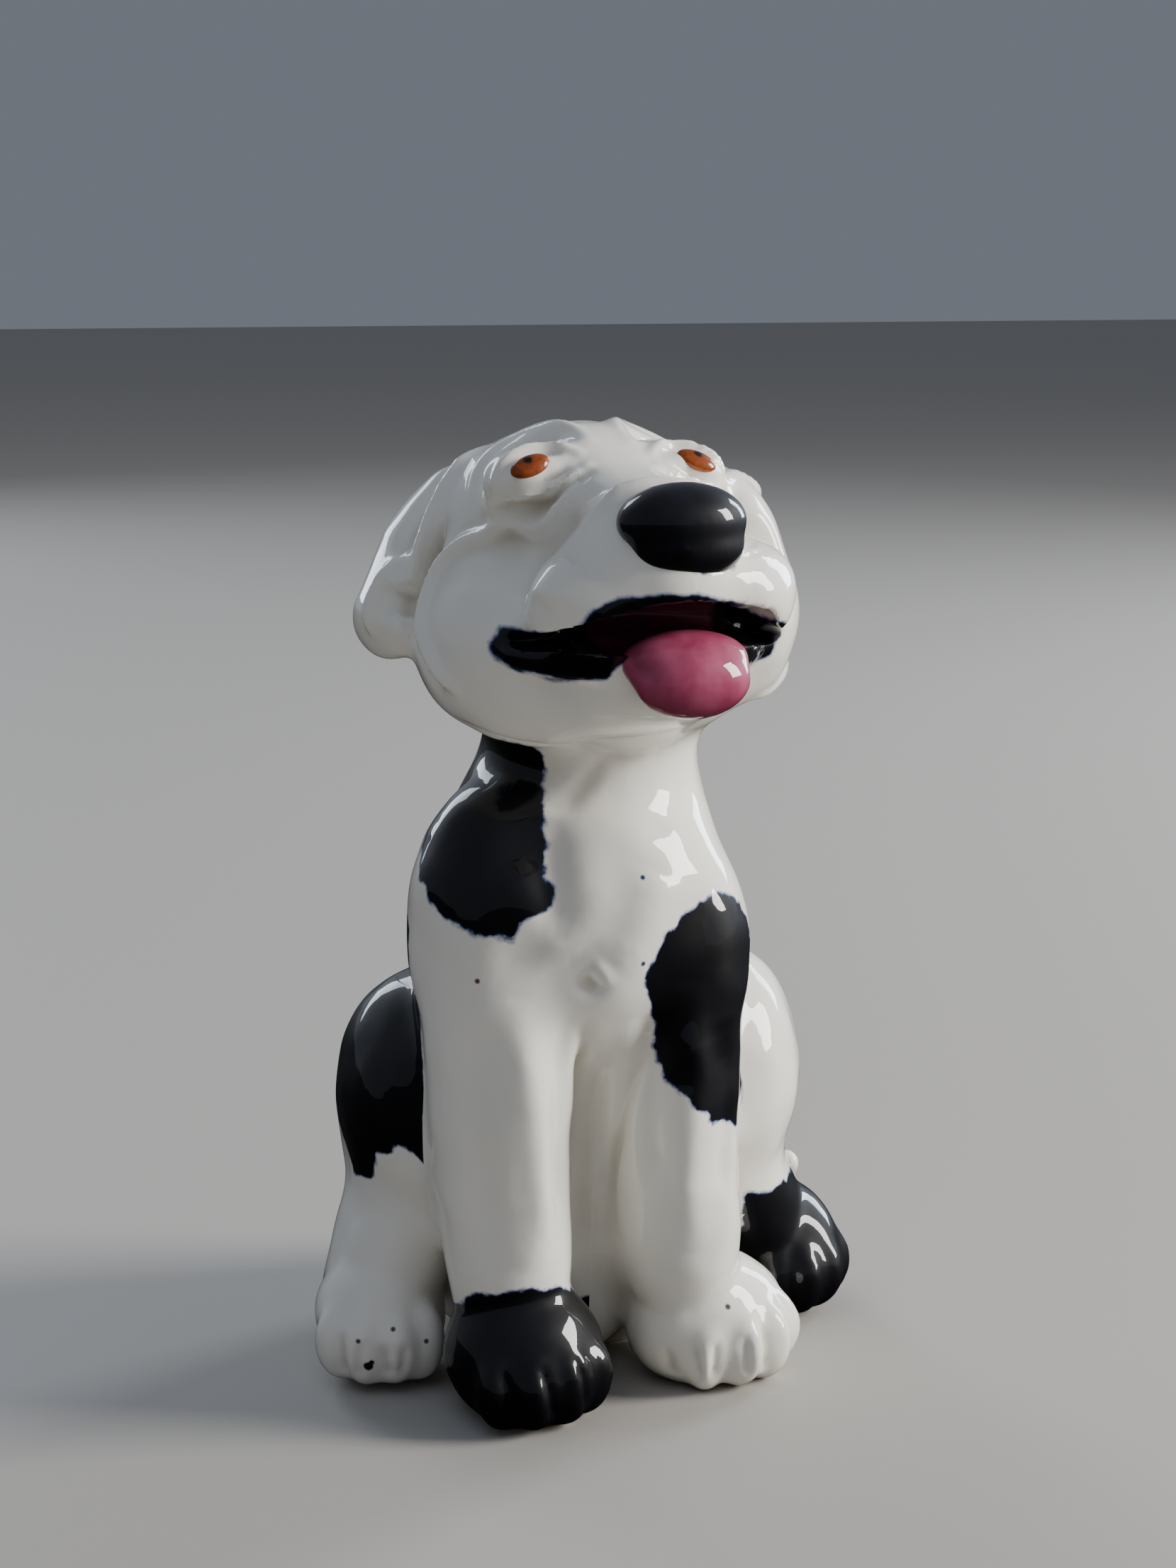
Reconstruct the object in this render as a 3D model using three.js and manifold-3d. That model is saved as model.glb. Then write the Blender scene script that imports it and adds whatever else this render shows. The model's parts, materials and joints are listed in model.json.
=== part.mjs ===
// Sitting puppy figurine in glazed earthenware.
// The modeller's original is built up from balls of clay, cut apart with straight knife cuts, and each
// piece is cast hollow or pressed. The pieces are luted together with slip along the same cuts.
// Millimetres, +Z up. The dog faces -Y, its own left is +X, and it sits on Z = 0.
import * as THREE from "three";
import { mergeVertices } from "three/addons/utils/BufferGeometryUtils.js";
import Module from "manifold-3d";

// Driving dimensions
const WALL = 4; // thinnest wall of the cast shell
const JOINT = 0.3; // width of a luted joint between two pieces
const NECK_Z = 128; // knife cut between torso and head
const ELBOW_Z = 74; // top of the foreleg pieces
const HIP_Z = 78; // top of the haunch pieces
const ANKLE_Z = 26; // top of the paw pieces
const CHEST_Y = -6; // back of the foreleg pieces
const HEEL_Y = -2; // back of the left front paw
const LEG_SPLIT_X = -3; // cut between the two forelegs, down the web that joins them
const HIP_X = 25; // inner side of the haunch and hind paw pieces
const RUMP_Y = 38; // back of the haunch and hind paw pieces
const VENT_RADIUS = 3; // air vent through the underside
const VENT_PLACE = [2, 20]; // X and Y of the vent
const VENT_TOP = 20; // the vent ends inside the hollow
const HEAD_PLACE = [-5, -12, 158];
const HEAD_TURN = 10; // degrees, towards the dog's left
const ROOM = 400; // size of the blocks that cut a piece flat

const wasm = await Module();
wasm.setup();

// ---------------------------------------------------------------- working in clay

// A closed three.js geometry as a solid that can be joined and cut.
function solidOf(geometry) {
  geometry.deleteAttribute("normal");
  geometry.deleteAttribute("uv");
  const merged = mergeVertices(geometry, 1e-4);
  const mesh = new wasm.Mesh({
    numProp: 3,
    vertProperties: new Float32Array(merged.attributes.position.array),
    triVerts: new Uint32Array(merged.index.array),
  });
  return new wasm.Manifold(mesh);
}

// A ball of clay pressed to three radii and turned, in degrees, about its own axes.
function ball(place, radii, turn = [0, 0, 0]) {
  return { place, radii, turn };
}

function ballSolid({ place, radii, turn }, grow) {
  const largest = Math.max(...radii);
  const around = largest > 20 ? 14 : largest > 11 ? 10 : 8;
  const shape = new THREE.SphereGeometry(1, around, Math.round(around * 0.6));
  const matrix = new THREE.Matrix4().compose(
    new THREE.Vector3(...place),
    new THREE.Quaternion().setFromEuler(new THREE.Euler(...turn.map(THREE.MathUtils.degToRad))),
    new THREE.Vector3(...radii.map((r) => r + grow)),
  );
  return solidOf(shape.rotateX(Math.PI / 2).applyMatrix4(matrix));
}

// Balls joined into one lump. A lump that makes room for a joint or a wall is grown by its width.
function lump(balls, grow = 0) {
  return balls.map((b) => ballSolid(b, grow)).reduce((joined, next) => joined.add(next));
}

// A row of balls from stop to stop, for a limb. Each stop is X, Y, Z and three radii.
function limb(stops, steps) {
  const balls = [];
  for (let i = 0; i + 1 < stops.length; i++) {
    for (let k = 0; k < steps; k++) {
      const v = stops[i].map((a, n) => a + ((stops[i + 1][n] - a) * k) / steps);
      balls.push(ball(v.slice(0, 3), v.slice(3)));
    }
  }
  const end = stops.at(-1);
  return [...balls, ball(end.slice(0, 3), end.slice(3))];
}

// A paw: one flattened ball with four toes fanned round its front.
function paw([x, y, z], [rx, ry, rz], heading) {
  const toes = [-45, -15, 15, 45].map((fan) => {
    const a = THREE.MathUtils.degToRad(heading + fan);
    const place = [x + 0.72 * rx * Math.sin(a), y - 0.72 * ry * Math.cos(a), z - 2];
    return ball(place, [5.4, 8, 10], [0, 0, heading + fan]);
  });
  return [ball([x, y, z], [rx, ry, rz], [0, 0, heading]), ...toes];
}

// ---------------------------------------------------------------- cutting apart

// A block that lies wholly on one side of a plane: the side where normal . point > distance.
function beyond(normal, distance) {
  const n = new THREE.Vector3(...normal).normalize();
  const turn = new THREE.Quaternion().setFromUnitVectors(new THREE.Vector3(0, 0, 1), n);
  const middle = n.multiplyScalar(distance + ROOM / 2);
  const block = new THREE.BoxGeometry(ROOM, ROOM, ROOM).applyQuaternion(turn);
  return solidOf(block.translate(middle.x, middle.y, middle.z));
}

// The part of a clay solid inside a run of knife cuts. Each cut keeps the side where
// normal . point > distance. Half a joint's width is pared off each cut face.
function inside(solid, cuts) {
  const pared = cuts.map(([normal, distance]) => beyond(normal, distance + JOINT / 2));
  return pared.reduce((rest, block) => rest.intersect(block), solid);
}

// What is left once the space inside those cuts is taken away, pared back by the same half.
function outside(solid, cuts) {
  const [first, ...others] = cuts.map(([normal, distance]) => beyond(normal, distance - JOINT / 2));
  return solid.subtract(others.reduce((space, block) => space.intersect(block), first));
}

const above = (z) => [[0, 0, 1], z];
const below = (z) => [[0, 0, -1], -z];

// ---------------------------------------------------------------- glazes

const glaze = {
  white: { color: 0xe9e6dc, roughness: 0.12, metalness: 0 },
  black: { color: 0x0c0d12, roughness: 0.08, metalness: 0 },
  rose: { color: 0xa8405a, roughness: 0.1, metalness: 0 },
  amber: { color: 0x8f3a17, roughness: 0.15, metalness: 0 },
};

const figurine = new THREE.Group();
const headGroup = new THREE.Group();
headGroup.position.set(...HEAD_PLACE);
headGroup.rotation.z = THREE.MathUtils.degToRad(HEAD_TURN);
figurine.add(headGroup);

// Cutting can leave a crumb, so the largest body of a solid is the piece.
function place(name, solid, colour, group = figurine) {
  const piece = solid.decompose().sort((a, b) => b.volume() - a.volume())[0];
  const { vertProperties, triVerts } = piece.getMesh();
  const geometry = new THREE.BufferGeometry();
  geometry.setAttribute("position", new THREE.BufferAttribute(vertProperties, 3));
  geometry.setIndex(new THREE.BufferAttribute(triVerts, 1));
  const mesh = new THREE.Mesh(geometry, new THREE.MeshStandardMaterial(glaze[colour]));
  mesh.name = name;
  group.add(mesh);
}

// ---------------------------------------------------------------- body, as modelled in one

const trunk = [
  ball([-4, -9, 94], [30, 27, 32]),
  ball([-22, -15, 88], [16, 18, 28]),
  ball([14, -13, 86], [15, 18, 26]),
  ...limb([[-3, -4, 106, 27, 25, 21], [0, -5, 134, 21, 22, 15]], 2),
  ball([0, 12, 80], [29, 25, 42]),
  ball([0, 16, 52], [35, 32, 38]),
  ball([1, 24, 34], [36, 28, 32]),
  ball([1, 22, 14], [32, 27, 22]),
  ...limb([[-6, -4, 72, 15, 13, 14], [-5, -5, 16, 15, 12, 16]], 2),
];
const haunches = [
  ball([-31, 8, 52], [18, 26, 28], [14, 0, 4]),
  ...limb([[-35, 8, 34, 12, 20, 16], [-42, 5, 14, 12, 16, 13]], 1),
  ball([30, 14, 54], [18, 25, 27], [14, 0, -6]),
  ...limb([[32, 15, 34, 12, 18, 16], [42, 17, 15, 11, 14, 14]], 1),
];
const forelegs = [
  ...limb([[-22, -19, 88, 16, 15, 20], [-23, -22, 58, 14, 14, 16], [-21, -22, 26, 12.5, 13, 14]], 2),
  ...limb([[12, -16, 86, 15, 15, 20], [11.5, -19, 56, 14, 14, 16], [14, -18, 26, 12.5, 13, 14]], 2),
];
const paws = [
  ...paw([-19, -25, 11.5], [15.5, 16, 15], 12),
  ...paw([20, -15, 11], [17.5, 15, 13.5], 32),
  ...paw([-43, 1, 12], [13, 16, 14], -12),
  ...paw([45, 17, 12], [12.5, 15, 15], 25),
];
const bodyBalls = [...trunk, ...haunches, ...forelegs, ...paws];

// The hollow left when the slip is poured out. It runs up through the neck and keeps off the floor.
const bodyHollow = lump([
  ball([-4, -9, 94], [29, 26, 31]),
  ball([-1, -4, 122], [19, 20, 30]),
  ball([0, 12, 80], [28, 24, 41]),
  ball([0, 18, 46], [31, 26, 36]),
], -WALL).intersect(beyond([0, 0, 1], WALL));

// Air leaves the hollow by a vent through the foot while the figurine is fired.
function vent() {
  const drill = new THREE.CylinderGeometry(VENT_RADIUS, VENT_RADIUS, 2 * VENT_TOP, 16);
  return solidOf(drill.rotateX(Math.PI / 2).translate(...VENT_PLACE, 0));
}

const bodyShell = lump(bodyBalls).intersect(beyond([0, 0, 1], 0)).subtract(bodyHollow);

// ---------------------------------------------------------------- the body's knife cuts

// Slanting cuts part a front paw or foreleg from the hind paw or haunch behind it.
const rightSlant = { normal: [-0.68, 0.73, 0], distance: 12.3 };
const leftLegSlant = { normal: [0.447, 0.894, 0], distance: 2.7 };
const leftPawSlant = { normal: [0.616, 0.788, 0], distance: 19.5 };
const behind = ({ normal, distance }) => [normal, distance];
const inFrontOf = ({ normal, distance }) => [normal.map((n) => -n), -distance];

const rightOfWeb = [[-1, 0, 0], -LEG_SPLIT_X];
const leftOfWeb = [[1, 0, 0], LEG_SPLIT_X];
const rightOfHip = [[-1, 0, 0], HIP_X];
const leftOfHip = [[1, 0, 0], HIP_X];
const beforeChest = [[0, -1, 0], -CHEST_Y];
const beforeHeel = [[0, -1, 0], -HEEL_Y];
const beforeRump = [[0, -1, 0], -RUMP_Y];

const shank = [above(ANKLE_Z), below(ELBOW_Z)];
const hip = [above(ANKLE_Z), below(HIP_Z)];
const foot = [below(ANKLE_Z)];

const bodyCuts = {
  foreleg_right: [rightOfWeb, beforeChest, inFrontOf(rightSlant), ...shank],
  foreleg_left: [leftOfWeb, beforeChest, inFrontOf(leftLegSlant), ...shank],
  haunch_right: [rightOfHip, beforeRump, behind(rightSlant), ...hip],
  haunch_left: [leftOfHip, beforeRump, behind(leftLegSlant), ...hip],
  front_paw_right: [rightOfWeb, beforeChest, inFrontOf(rightSlant), ...foot],
  front_paw_left: [leftOfWeb, beforeHeel, inFrontOf(leftPawSlant), ...foot],
  hind_paw_right: [rightOfHip, beforeRump, behind(rightSlant), ...foot],
  hind_paw_left: [leftOfHip, beforeRump, behind(leftPawSlant), ...foot],
};
const blackPieces = ["front_paw_right", "hind_paw_left"];

const torso = Object.values(bodyCuts)
  .reduce((rest, cuts) => outside(rest, cuts), bodyShell)
  .intersect(beyond([0, 0, -1], JOINT / 2 - NECK_Z))
  .subtract(vent());
place("torso_casting", torso, "white");

for (const [name, cuts] of Object.entries(bodyCuts)) {
  place(name, inside(bodyShell, cuts), blackPieces.includes(name) ? "black" : "white");
}

// ---------------------------------------------------------------- tail

// Rolled by hand, wrapped round the left hip and pressed on, with its tip turned up.
const tail = limb([
  [4, 46, 18, 11, 11, 11],
  [22, 50, 14, 10, 10, 10],
  [40, 42, 16, 8, 8, 8],
  [48, 30, 24, 6.5, 6.5, 6.5],
  [50, 18, 31, 4, 4, 4],
], 2);
place("tail", lump(tail).intersect(beyond([0, 0, 1], 0)).subtract(lump(bodyBalls, JOINT)), "white");

// ---------------------------------------------------------------- head, in its own frame

const headBalls = [
  ball([1, 4, 3], [31, 28, 27]),
  ball([-2, -9, 17], [22, 19, 14]),
  ball([-17, -15, 18], [10, 10, 9]),
  ball([13, -15, 18], [10, 10, 9]),
  ball([23, -7, -6], [17, 24, 19]),
  ball([-18, -6, -9], [16, 24, 18]),
  ball([-1, -28, 3], [20, 24, 15], [-8, 0, 0]),
  ball([12, -31, 1], [17, 17, 12]),
  ball([-11, -33, -1], [14, 16, 10]),
  ball([0, -21, -14], [20, 22, 12]),
  ball([-12, -9, -17], [18, 20, 12]),
  ball([8, -9, -18], [20, 19, 12]),
  ball([4, 9, -24], [21, 22, 18]),
];
const earBalls = [-1, 1].flatMap((side) =>
  limb([
    [18 * side, 12, 14, 8, 11, 8],
    [27 * side, 13, 4, 7, 13, 9],
    [34 * side, 12, -7, 5, 12, 8],
  ], 1));

// The open mouth, low at its corners, with the jaw dropped below it.
const mouthBalls = [
  ball([-1, -38, -3], [19, 18, 6]),
  ball([-17, -26, -8], [9, 12, 4]),
  ball([16, -28, -7], [9, 12, 4]),
];
const headHollow = lump([
  ball([1, 7, 3], [28, 23, 25]),
  ball([4, 9, -20], [17, 17, 26]),
], -WALL);

const headCut = [[0, 0, 1], NECK_Z - HEAD_PLACE[2]];
const headShell = inside(
  lump([...headBalls, ...earBalls]).subtract(headHollow).subtract(lump(mouthBalls)),
  [headCut],
);
const jawCuts = [[[0, -1, 0], 14], below(-8)];
const earCuts = {
  ear_right: [[[-0.91, 0, 0.41], 24.4], [[0, 1, 0], 0]],
  ear_left: [[[0.91, 0, 0.41], 26.4], [[0, 1, 0], 0]],
};

const head = Object.values(earCuts).reduce((rest, cuts) => outside(rest, cuts), headShell);
place("head_casting", outside(head, jawCuts), "white", headGroup);
place("lower_jaw", inside(headShell, jawCuts), "white", headGroup);
for (const [name, cuts] of Object.entries(earCuts)) {
  place(name, inside(headShell, cuts), "white", headGroup);
}

// ---------------------------------------------------------------- nose, eyes and tongue

const headRoom = lump(headBalls, JOINT);
const mouthRoom = lump(mouthBalls, -JOINT);

const nose = ballSolid(ball([-1.5, -46, 14], [11, 8, 8.5], [-10, 0, 0]), 0);
place("nose", nose.subtract(headRoom), "black", headGroup);

for (const [name, x] of [["eye_right", -18.7], ["eye_left", 14]]) {
  const eye = ballSolid(ball([x, -22.5, 23.5], [4, 3.6, 2.6]), 0);
  place(name, eye.subtract(headRoom), "amber", headGroup);
}

const tongue = lump(limb([
  [2, -36, -5, 10, 8, 4],
  [2, -43, -9, 11, 6, 5],
  [1, -44, -14, 8, 4, 5],
], 2));
place("tongue", tongue.subtract(headRoom.subtract(mouthRoom)), "rose", headGroup);

// The origin is at the middle of the underside of the whole figurine's box.
const middle = new THREE.Box3().setFromObject(figurine, true).getCenter(new THREE.Vector3());
figurine.position.set(-middle.x, -middle.y, 0);

export default figurine;
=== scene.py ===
# A sitting puppy in glazed earthenware, about 189 mm tall, put together the way a pottery does it: an
# original modelled in clay, cut apart with a knife, cast and pressed, luted together, painted and glazed.
import json
import math

import bpy
import numpy as np
from mathutils import Euler, Matrix, Vector
from mathutils.bvhtree import BVHTree

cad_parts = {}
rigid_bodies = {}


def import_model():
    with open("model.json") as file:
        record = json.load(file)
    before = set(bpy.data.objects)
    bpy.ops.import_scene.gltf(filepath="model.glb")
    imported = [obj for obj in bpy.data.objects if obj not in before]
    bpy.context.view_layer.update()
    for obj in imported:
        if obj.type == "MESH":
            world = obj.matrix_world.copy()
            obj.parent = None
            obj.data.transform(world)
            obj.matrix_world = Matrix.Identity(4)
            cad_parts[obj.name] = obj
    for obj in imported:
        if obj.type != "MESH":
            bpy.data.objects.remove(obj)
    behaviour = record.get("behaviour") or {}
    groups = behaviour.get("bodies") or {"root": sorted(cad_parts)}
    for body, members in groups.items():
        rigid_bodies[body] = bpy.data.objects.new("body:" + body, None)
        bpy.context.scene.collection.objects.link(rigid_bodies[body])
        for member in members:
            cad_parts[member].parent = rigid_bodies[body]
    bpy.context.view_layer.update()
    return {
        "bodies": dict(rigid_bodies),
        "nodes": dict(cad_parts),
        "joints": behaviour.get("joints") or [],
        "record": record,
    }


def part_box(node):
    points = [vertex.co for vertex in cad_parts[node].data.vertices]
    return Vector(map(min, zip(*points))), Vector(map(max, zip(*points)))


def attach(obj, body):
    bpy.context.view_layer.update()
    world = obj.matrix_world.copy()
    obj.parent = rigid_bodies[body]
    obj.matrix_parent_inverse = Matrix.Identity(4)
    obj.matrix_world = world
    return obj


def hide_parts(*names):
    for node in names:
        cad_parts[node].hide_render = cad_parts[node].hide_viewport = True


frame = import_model()
MM = 0.001


# ---------------------------------------------------------------- camera
# A short telephoto lens on a tripod, a little above the puppy and to its right.

CAMERA_AZIMUTH = -14
CAMERA_ELEVATION = 11
CAMERA_DISTANCE = 560
AIM_HEIGHT = 116.6
LENS = 65.9

# The knife cuts beside and behind the left foreleg tie the modeller's axes to the frame.
LEG_SPLIT_X = -3
CHEST_Y = -6
JOINT = 0.3
leg_low, leg_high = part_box("foreleg_left")
DOG = Matrix.Translation((
    leg_low.x - (LEG_SPLIT_X + JOINT / 2) * MM,
    leg_high.y - (CHEST_Y - JOINT / 2) * MM,
    0,
))

azimuth = math.radians(CAMERA_AZIMUTH)
elevation = math.radians(CAMERA_ELEVATION)
towards_camera = Vector((
    math.sin(azimuth) * math.cos(elevation),
    -math.cos(azimuth) * math.cos(elevation),
    math.sin(elevation),
))
camera = bpy.data.objects.new("camera", bpy.data.cameras.new("camera"))
bpy.context.scene.collection.objects.link(camera)
camera.location = DOG @ Vector((0, 0, AIM_HEIGHT * MM)) + towards_camera * CAMERA_DISTANCE * MM
camera.rotation_euler = (-towards_camera).to_track_quat("-Z", "Y").to_euler()
camera.data.lens = LENS
camera.data.sensor_width = 36
bpy.context.scene.camera = camera


# ---------------------------------------------------------------- the clay original
# The whole puppy is first modelled solid in soft clay: balls and rolls pressed together, smoothed with a
# wet sponge, then sharpened with a wooden tool. The cast pieces are cut from it further down.

def lump(place, radii, turn=(0, 0, 0), frame=DOG):
    """A ball of clay pressed to three radii in mm, turned in degrees."""
    bpy.ops.mesh.primitive_uv_sphere_add(segments=32, ring_count=20, radius=1)
    ball = bpy.context.object
    euler = Euler([math.radians(t) for t in turn])
    ball.matrix_world = frame @ Matrix.LocRotScale(Vector(place) * MM, euler, Vector(radii) * MM)
    return ball


def limb(stops, frame=DOG, steps=5):
    """A roll of clay through a row of stops, each X, Y, Z and three radii."""
    balls = []
    for start, end in zip(stops, stops[1:]):
        for step in range(steps):
            v = [a + (b - a) * step / steps for a, b in zip(start, end)]
            balls.append(lump(v[:3], v[3:], frame=frame))
    balls.append(lump(stops[-1][:3], stops[-1][3:], frame=frame))
    return balls


def paw(place, radii, heading, fan=30, toe=(5.2, 7.6, 9), reach=0.68):
    """A flattened ball with four toes fanned round its front."""
    x, y, z = place
    balls = [lump(place, radii, (0, 0, heading))]
    for toe_number in range(4):
        angle = heading + (toe_number - 1.5) * fan
        a = math.radians(angle)
        toe_place = (x + math.sin(a) * radii[0] * reach, y - math.cos(a) * radii[1] * reach, z - 2.6)
        balls.append(lump(toe_place, toe, (0, 0, angle)))
    return balls


def select_only(*pieces):
    bpy.ops.object.select_all(action="DESELECT")
    for piece in pieces:
        piece.select_set(True)
    bpy.context.view_layer.objects.active = pieces[0]


def apply_modifier(piece, kind, **settings):
    select_only(piece)
    modifier = piece.modifiers.new(kind, kind)
    for name, value in settings.items():
        setattr(modifier, name, value)
    bpy.ops.object.modifier_apply(modifier=modifier.name)


def work_together(lumps, grain, rounds, factor=0.5):
    """Presses lumps into one body of clay and sponges the joins. grain is the fineness in mm."""
    select_only(*lumps)
    if len(lumps) > 1:
        bpy.ops.object.join()
    body = bpy.context.object
    bpy.ops.object.transform_apply(location=True, rotation=True, scale=True)
    apply_modifier(body, "REMESH", mode="VOXEL", voxel_size=grain * MM)
    apply_modifier(body, "SMOOTH", factor=factor, iterations=rounds)
    return body


HEAD = DOG @ Matrix.Translation(Vector((-5, -12, 158)) * MM) @ Matrix.Rotation(math.radians(10), 4, "Z")

trunk = [
    lump((-4, -9, 94), (30, 27, 32)),
    lump((-22, -14, 92), (17, 19, 30)),
    lump((14, -13, 86), (15, 18, 26)),
    *limb([(-3, -4, 102, 28, 26, 22), (-1, -3, 122, 21, 22, 16), (0, -6, 138, 21, 22, 14)]),
    lump((0, 12, 80), (29, 25, 42)),
    lump((0, 16, 52), (35, 32, 38)),
    lump((1, 24, 34), (36, 28, 32)),
    lump((1, 22, 14), (32, 27, 22)),
    *limb([(-3, -12, 80, 11, 13, 14), (-3.5, -6, 60, 10, 13, 14), (-4.5, -3, 40, 11, 12, 14),
           (-5, -2, 16, 15, 12, 16)]),
]
haunches = [
    lump((-31, 8, 52), (18, 26, 28), (14, 0, 4)),
    *limb([(-35, 8, 34, 12, 20, 16), (-42, 5, 14, 12, 16, 13)]),
    lump((30, 14, 54), (18, 25, 27), (14, 0, -6)),
    *limb([(32, 15, 34, 12, 18, 16), (42, 17, 15, 11, 14, 14)]),
]
forelegs = [
    *limb([(-22, -19, 88, 16, 15, 20), (-23, -22, 58, 14, 14, 16), (-21, -22, 26, 12.5, 13, 14)]),
    *limb([(12, -16, 86, 15, 15, 20), (11.5, -19, 56, 14, 14, 16), (14, -18, 26, 12.5, 13, 14)]),
]
skull = [
    lump(place, radii, turn, HEAD) for place, radii, turn in (
        ((1, 4, 3), (31, 28, 27), (0, 0, 0)),
        ((-2, -9, 16.7), (22, 19, 14), (0, 0, 0)),
        ((23, -7, -6), (17, 24, 19), (0, 0, 0)),
        ((22, -8, 3), (15, 20, 20), (0, 0, 0)),
        ((-18, -6, -9), (16, 24, 18), (0, 0, 0)),
        ((-1, -28, 3), (20, 24, 15), (-8, 0, 0)),
        ((12, -31, 1), (17, 17, 12), (0, 0, 0)),
        ((-11, -33, -1), (14, 16, 10), (0, 0, 0)),
        ((0, -21, -14), (20, 22, 12), (0, 0, 0)),
        ((-12, -9, -17), (18, 20, 12), (0, 0, 0)),
        ((8, -9, -18), (20, 19, 12), (0, 0, 0)),
    )
]
bridge = limb([(-2, -14, 18, 14, 10, 9), (-1, -36, 13, 14, 9, 9)], HEAD)
original = work_together(trunk + haunches + forelegs + skull + bridge, grain=2.0, rounds=24)

paws = [
    *paw((-19, -25, 11.5), (15.5, 16, 15), 12),
    *paw((20, -15, 11), (17.5, 15, 13.5), 32),
    *paw((-42.3, 1, 12), (13, 16, 14), -12),
    *paw((45, 17, 12), (12.5, 15, 15), 25),
]
ears = []
for side in (-1, 1):
    ears += limb([
        (side * 18, 12, 14, 8, 11, 8),
        (side * 27, 13, 4, 7, 13, 9),
        (side * 34, 12, -7, 5, 12, 8),
    ], HEAD)

# Eyeballs and lips are pressed on. The face is a little off the middle of the skull.
FACE = HEAD @ Matrix.Translation(Vector((-2, 0, 0)) * MM)
eyeballs = [lump((x, -15, 19.5), (8, 7.5, 7), frame=FACE) for x in (-16, 16)]
lower_lip = limb([(-21, -27, -9, 4, 4, 3.5), (-13, -37, -10, 4, 4, 3.5), (0, -40, -10, 4, 4, 3.5),
                  (15, -37, -10, 4, 4, 3.5), (23, -28, -10, 4, 4, 3.5)], FACE)
original = work_together([original] + paws + ears + eyeballs + lower_lip, grain=1.0, rounds=10)

# The mouth is hollowed out with a loop tool: deep in the middle, shallow and low at its corners.
mouth = work_together([
    *limb([(-9, -40, -3.6, 9, 13, 4), (0, -42, -2.2, 12, 14, 5), (13, -40, -3.6, 9, 12, 4.2)], FACE),
    *limb([(-9, -40, -3.6, 8, 12, 3), (-14, -41, -4.2, 4, 9, 2.4), (-18, -40, -5.4, 4, 9, 1.7),
           (-22, -32, -6.2, 4, 7, 1.3)], FACE),
    *limb([(15, -38, -4.5, 4, 9, 3), (22, -36, -6.5, 4, 9, 2), (27, -30, -8, 3, 6, 1.4)], FACE),
], grain=0.7, rounds=3)
apply_modifier(original, "BOOLEAN", operation="DIFFERENCE", solver="MANIFOLD", object=mouth)
bpy.data.objects.remove(mouth)
original = work_together([original], grain=0.75, rounds=3)

# Thumbs and the sponge leave the clay slightly uneven.
THUMB_WIDTH = 16
THUMB_DEPTH = 1.6
thumbed = bpy.data.textures.new("thumbed clay", "CLOUDS")
thumbed.noise_scale = THUMB_WIDTH * MM
thumbed.noise_depth = 1
apply_modifier(original, "DISPLACE", texture=thumbed, texture_coords="GLOBAL",
               strength=THUMB_DEPTH * MM, mid_level=0.5)


def coordinates(piece):
    """The piece's vertices in mm on the modeller's axes."""
    flat = np.empty(len(piece.data.vertices) * 3)
    piece.data.vertices.foreach_get("co", flat)
    return flat.reshape(-1, 3) / MM - np.array(DOG.translation) / MM


def curve_through(points, spacing=0.6):
    """Evenly spaced places on a smooth curve through the points."""
    p = np.array([points[0], *points, points[-1]], float)
    places = []
    for a, b, c, d in zip(p, p[1:], p[2:], p[3:]):
        steps = max(2, int(np.linalg.norm(c - b) / spacing))
        t = np.arange(steps)[:, None] / steps
        places.append(0.5 * (2 * b + (c - a) * t + (2 * a - 5 * b + 4 * c - d) * t ** 2
                             + (3 * b - a - 3 * c + d) * t ** 3))
    return np.concatenate(places + [p[-1:]])


clay = coordinates(original)
to_face = np.array(DOG.inverted() @ FACE)


def steadied(line, reach=5):
    """Evens out the small jumps in a line laid on the clay."""
    padded = np.concatenate([line[:1].repeat(reach, 0), line, line[-1:].repeat(reach, 0)])
    hand = np.hanning(2 * reach + 3)[1:-1]
    return np.stack([np.convolve(padded[:, i], hand / hand.sum(), "valid") for i in range(3)], axis=1)


def stroke(points, width, depth, frame=None, ends=0.25):
    """Draws a wooden tool along a line on the clay. A depth under 0 presses a groove and a depth over 0
    pulls up a ridge. The line fades out over its ends."""
    line = curve_through(points)
    if frame is not None:
        line = line @ frame[:3, :3].T + frame[:3, 3] / MM
    reach = 3 * width + 4
    near = np.nonzero(np.all((clay > line.min(0) - reach) & (clay < line.max(0) + reach), axis=1))[0]
    for laid_on in (True, False):
        apart = np.linalg.norm(clay[near, None] - line[None], axis=2)
        if laid_on:
            line = steadied(clay[near][apart.argmin(0)])
    along = np.linspace(0, 1, len(line))
    taper = np.clip(np.minimum(along, 1 - along) / ends, 0, 1) if ends else np.ones(len(line))
    push = depth * np.exp(-(apart.min(1) / width) ** 2) * taper[apart.argmin(1)]
    clay[near] += push[:, None] * normals[near]


def read_normals():
    """Outward directions of the clay, taken from a softened copy so that strokes push evenly."""
    soft = original.copy()
    soft.data = original.data.copy()
    bpy.context.scene.collection.objects.link(soft)
    apply_modifier(soft, "SMOOTH", factor=0.5, iterations=12)
    flat = np.empty(len(soft.data.vertices) * 3)
    soft.data.vertex_normals.foreach_get("vector", flat)
    bpy.data.objects.remove(soft)
    return flat.reshape(-1, 3)


def write_clay():
    original.data.vertices.foreach_set("co", (clay * MM + np.array(DOG.translation)).ravel())
    original.data.update()


def both(side, *points):
    """A line drawn for the right half of the face. Side 1 mirrors it to the left half."""
    return [(-side * x, y, z) for x, y, z in points]


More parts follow.
